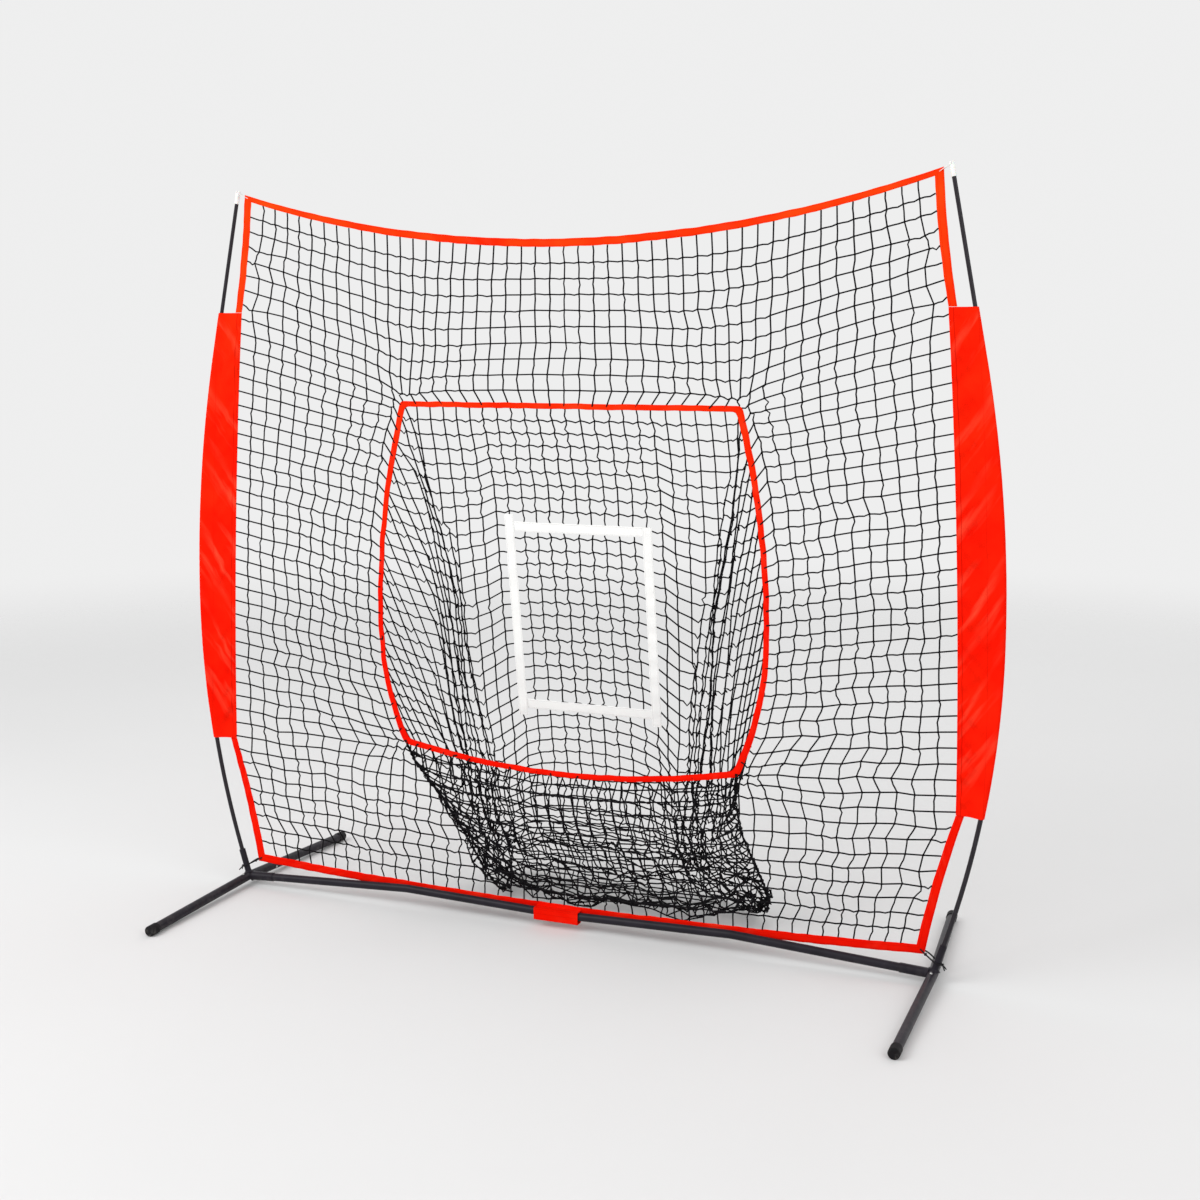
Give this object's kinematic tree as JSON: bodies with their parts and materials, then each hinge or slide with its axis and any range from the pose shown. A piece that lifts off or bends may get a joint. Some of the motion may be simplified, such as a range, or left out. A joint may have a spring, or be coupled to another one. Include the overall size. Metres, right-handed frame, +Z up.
{
  "type": "pitching target net",
  "caption": "Bow-framed square net on a take-apart tube base, with a netting pocket hung behind a bound opening and a strap-framed strike zone.",
  "frame": {"origin": "on the ground, halfway between the two corner joints, under the net", "axes": "+X to the viewer's right along the net, +Y away from the thrower to the back, +Z up"},
  "size_m": [2.4562, 1.0096, 2.131],
  "materials": {
    "tube_black": "satin black powder coat",
    "cap_black": "moulded, matt",
    "button_steel": "turned, dull",
    "spring_steel": "rolled strip",
    "pole_black": "pultruded glass fibre, semi-gloss",
    "ferrule_black": "satin",
    "tip_white": "moulded",
    "sleeve_red": "woven polyester, soft sheen",
    "tape_red": "woven tape",
    "tie_black": "braided elastic cord",
    "tie_white": "thin white elastic cord",
    "netting_black": "knotless twine mesh",
    "strap_white": "flat webbing"
  },
  "bodies": {
    "frame": {"bottom_band": "tape_red", "corner_joint_left": "tube_black", "corner_joint_right": "tube_black", "corner_tie_left": "tie_black", "corner_tie_right": "tie_black", "crossbar_left": "tube_black", "crossbar_right": "tube_black", "edge_tape_lower_left": "tape_red", "edge_tape_lower_right": "tape_red", "edge_tape_upper_left": "tape_red", "edge_tape_upper_right": "tape_red", "foot_cap_front_left": "cap_black", "foot_cap_front_right": "cap_black", "foot_cap_rear_left": "cap_black", "foot_cap_rear_right": "cap_black", "foot_front_left": "tube_black", "foot_front_right": "tube_black", "foot_rear_left": "tube_black", "foot_rear_right": "tube_black", "net_above_pocket": "netting_black", "net_below_pocket": "netting_black", "net_left_of_pocket": "netting_black", "net_right_of_pocket": "netting_black", "opening_binding": "tape_red", "pocket_back": "netting_black", "pocket_floor": "netting_black", "pocket_front": "netting_black", "pocket_side_left": "netting_black", "pocket_side_right": "netting_black", "pole_ferrule_left": "ferrule_black", "pole_ferrule_right": "ferrule_black", "pole_lower_left": "pole_black", "pole_lower_right": "pole_black", "pole_tip_left": "tip_white", "pole_tip_right": "tip_white", "pole_upper_left": "pole_black", "pole_upper_right": "pole_black", "sleeve_left": "sleeve_red", "sleeve_right": "sleeve_red", "snap_spring_front_left": "spring_steel", "snap_spring_front_right": "spring_steel", "snap_spring_rear_left": "spring_steel", "snap_spring_rear_right": "spring_steel", "tab_strap": "tape_red", "top_band": "tape_red", "top_tie_left": "tie_white", "top_tie_right": "tie_white", "zone_strap_bottom": "strap_white", "zone_strap_left": "strap_white", "zone_strap_right": "strap_white", "zone_strap_top": "strap_white"},
    "button_front_left": {"snap_button_front_left": "button_steel"},
    "button_front_right": {"snap_button_front_right": "button_steel"},
    "button_rear_left": {"snap_button_rear_left": "button_steel"},
    "button_rear_right": {"snap_button_rear_right": "button_steel"},
    "tab_flap": {"tab_flap": "tape_red"}
  },
  "joints": [
    {"name": "press_front_left", "type": "slide", "parent": "frame", "child": "button_front_left", "axis": [0, 0.0227, -0.9997], "range_m": [0, 0.0045], "stiffness_N_per_m": 1200, "springref_m": -0.004, "deforming": ["snap_spring_front_left"]},
    {"name": "press_front_right", "type": "slide", "parent": "frame", "child": "button_front_right", "axis": [0, 0.0227, -0.9997], "range_m": [0, 0.0045], "stiffness_N_per_m": 1200, "springref_m": -0.004, "deforming": ["snap_spring_front_right"]},
    {"name": "press_rear_left", "type": "slide", "parent": "frame", "child": "button_rear_left", "axis": [-0.9634, 0.0758, 0.2572], "range_m": [0, 0.0045], "stiffness_N_per_m": 1200, "springref_m": -0.004, "deforming": ["snap_spring_rear_left"]},
    {"name": "press_rear_right", "type": "slide", "parent": "frame", "child": "button_rear_right", "axis": [0.9634, 0.0758, 0.2572], "range_m": [0, 0.0045], "stiffness_N_per_m": 1200, "springref_m": -0.004, "deforming": ["snap_spring_rear_right"]},
    {"name": "tab_flap_hinge", "type": "hinge", "parent": "frame", "child": "tab_flap", "pos_m": [-0.016, -0.0136, 0.058], "axis": [-1, 0, 0], "range_deg": [0, 110]}
  ]
}
